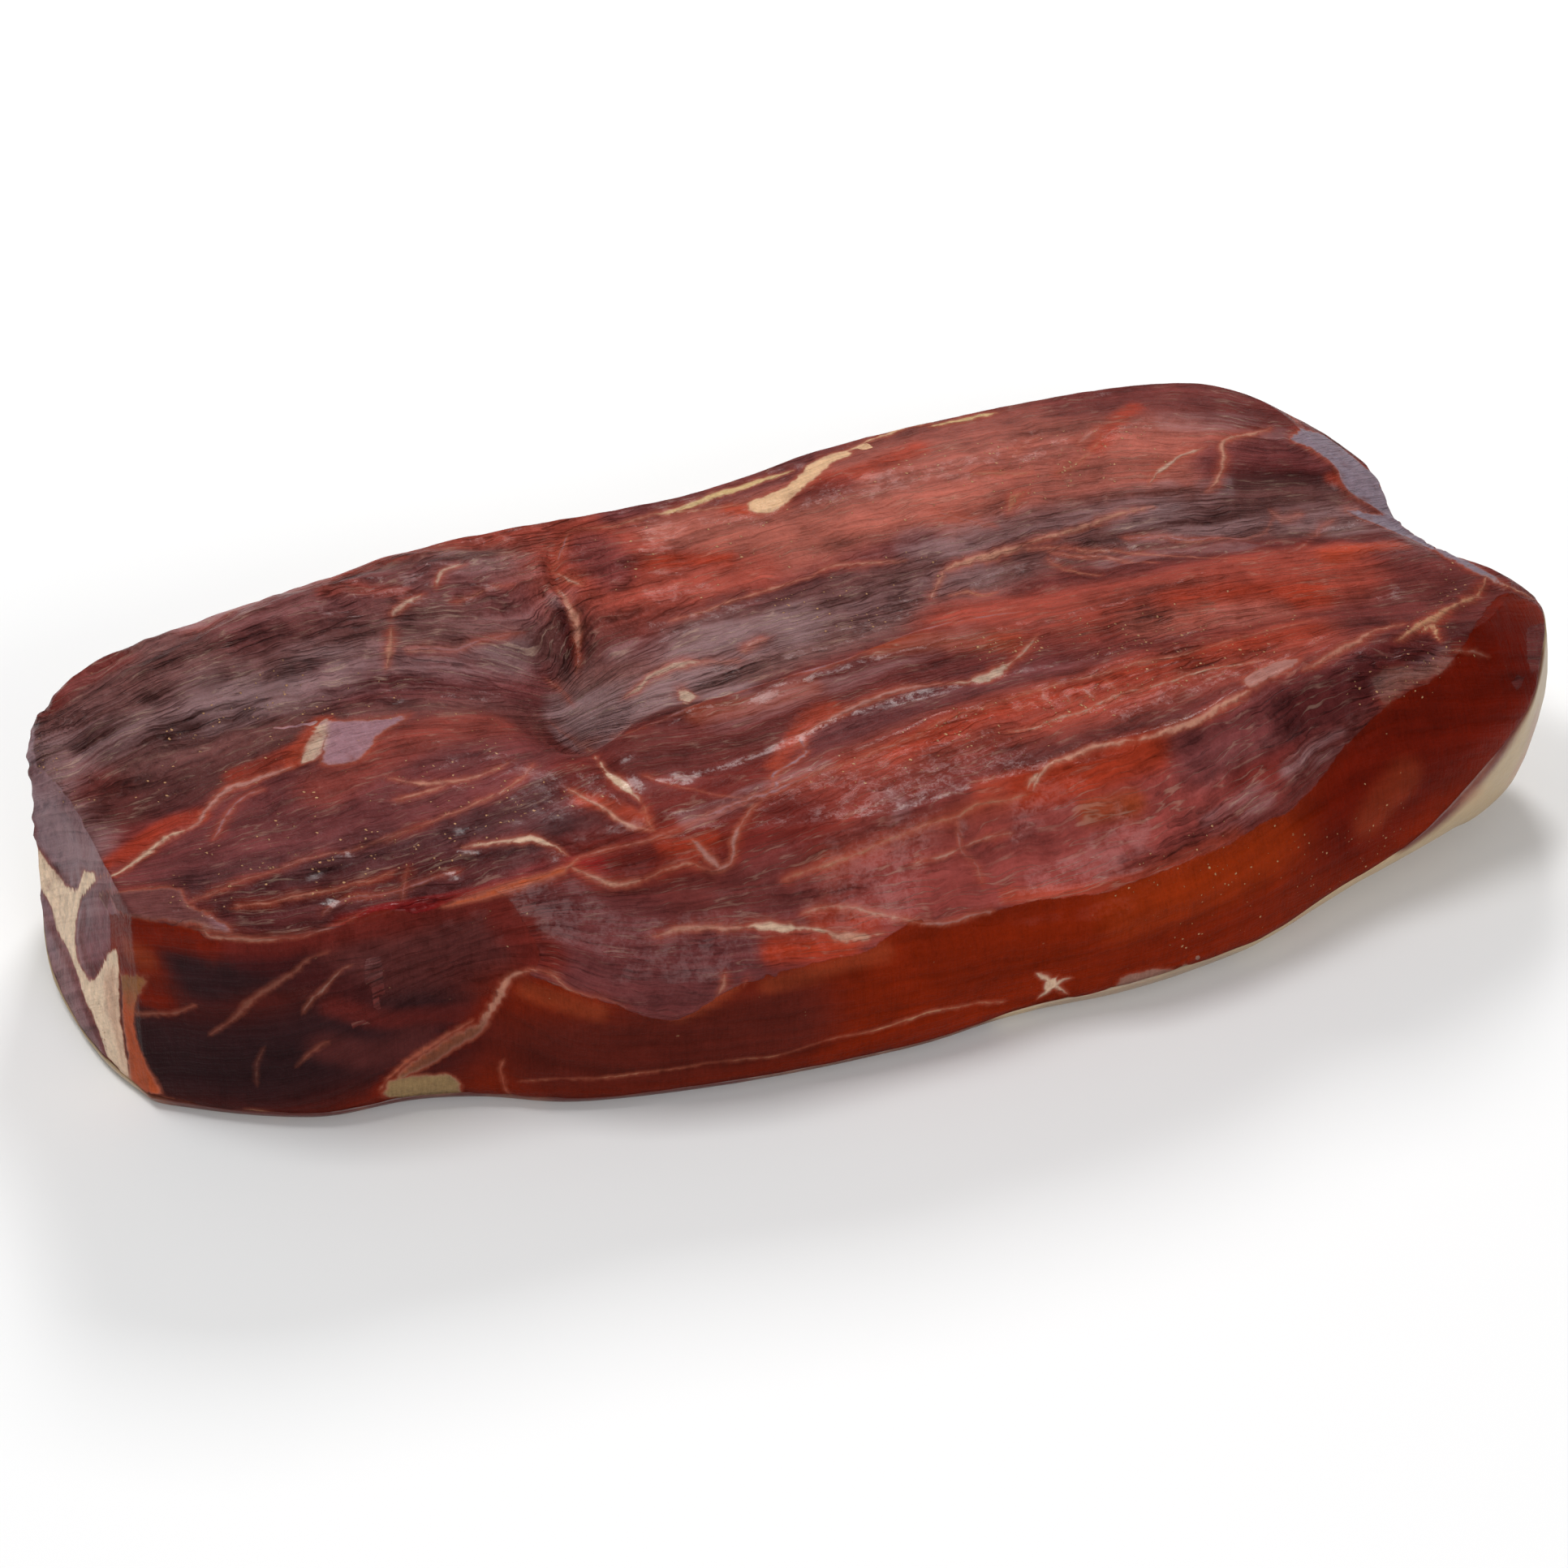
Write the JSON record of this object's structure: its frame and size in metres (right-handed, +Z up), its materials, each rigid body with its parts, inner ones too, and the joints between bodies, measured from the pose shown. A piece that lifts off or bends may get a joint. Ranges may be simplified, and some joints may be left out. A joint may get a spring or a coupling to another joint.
{
  "type": "boneless spanish ham",
  "caption": "Pressed block of cured boneless ham: folded lean meat with a flat cut knuckle end, lying on a fat cap that shows as a pale rim.",
  "frame": {"origin": "middle of the block's box, at the flat foot it rests on", "axes": "+Z up, +X along the block from the cut knuckle end to the thick end, -Y to the trimmed sloping flank"},
  "size_m": [0.4484, 0.199, 0.0853],
  "materials": {
    "lean_meat": "moist dark red cured meat with fat seams, satin to glossy",
    "fat_cap": "cream to tan cured fat, greasy satin"
  },
  "bodies": {
    "root": {"lean_meat": "lean_meat", "fat_cap": "fat_cap"}
  },
  "joints": []
}
